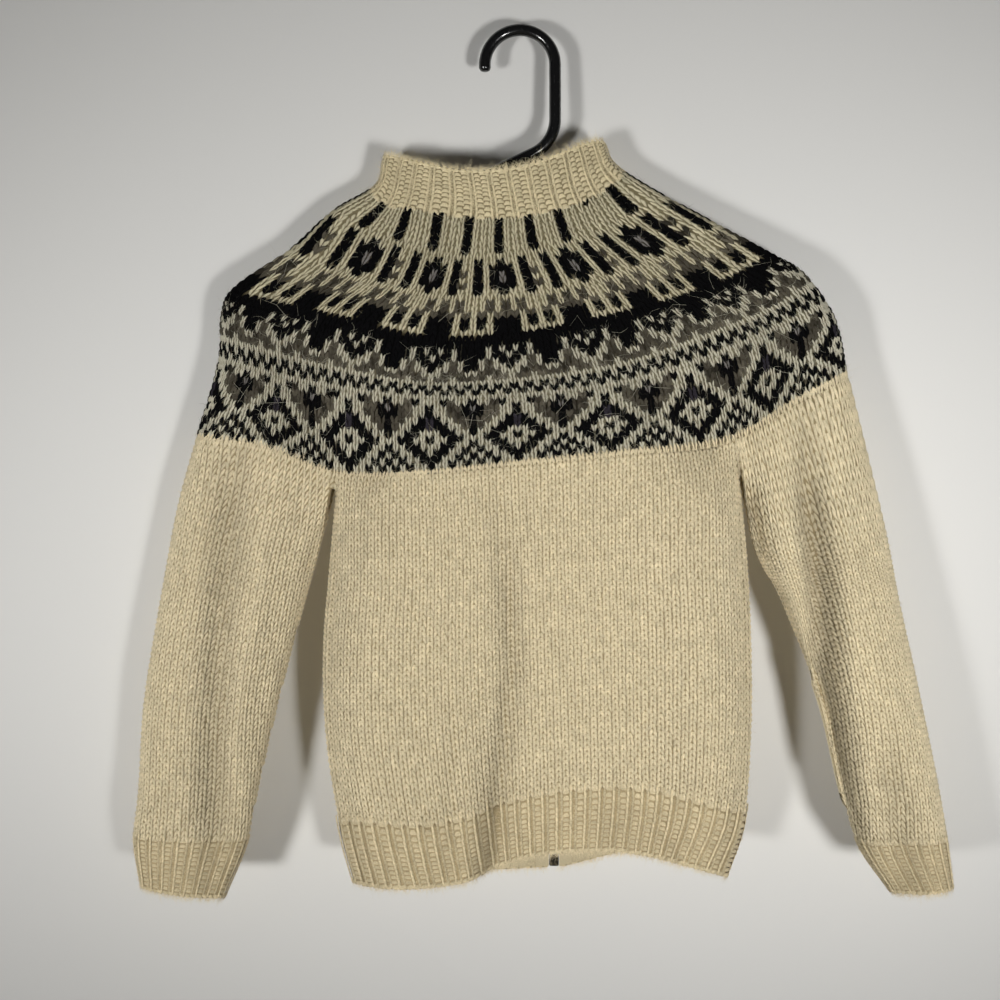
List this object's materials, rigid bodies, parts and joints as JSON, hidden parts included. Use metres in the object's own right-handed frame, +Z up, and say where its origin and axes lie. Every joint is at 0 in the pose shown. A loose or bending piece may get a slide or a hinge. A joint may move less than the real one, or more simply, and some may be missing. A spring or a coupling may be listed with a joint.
{
  "type": "nordic yoke sweater with a zip front, on a clothes hanger",
  "caption": "Child's hand-knitted wool cardigan with a patterned round yoke and a zip front, hanging flat on a tubular plastic hanger.",
  "frame": {"origin": "inside top of the hanger's hook, where a nail or a rail carries it", "axes": "+Z up, +X to the right as seen from behind, +Y from the knitted back towards the zip front"},
  "size_m": [0.6084, 0.0841, 0.645],
  "materials": {
    "cream_wool": "undyed cream wool, fuzzy, knitted in stocking stitch and ribbing",
    "yoke_wool": "black, grey-brown and cream wool in a stranded pattern",
    "zip_cloth": "woven polyester zip tape, beige",
    "dark_metal": "dark aged metal zip",
    "black_plastic": "glossy black tube"
  },
  "bodies": {
    "garment": {"yoke_back": "yoke_wool", "yoke_front_left": "yoke_wool", "yoke_front_right": "yoke_wool", "neckband": "cream_wool", "body_back": "cream_wool", "body_front_left": "cream_wool", "body_front_right": "cream_wool", "hem_back": "cream_wool", "hem_front_left": "cream_wool", "hem_front_right": "cream_wool", "sleeve_left": "cream_wool", "sleeve_right": "cream_wool", "cuff_left": "cream_wool", "cuff_right": "cream_wool", "zip_tape_left": "zip_cloth", "zip_tape_right": "zip_cloth", "zip_chain": "dark_metal", "zip_box": "dark_metal", "zip_slider": "dark_metal", "hanger": "black_plastic"},
    "zip_pull": {"zip_pull": "dark_metal"}
  },
  "joints": [
    {"name": "pull_tab_hinge", "type": "hinge", "parent": "garment", "child": "zip_pull", "pos_m": [-0.00736, 0.02788, -0.14022], "axis": [1, 0, 0], "range_deg": [0, 150]}
  ]
}
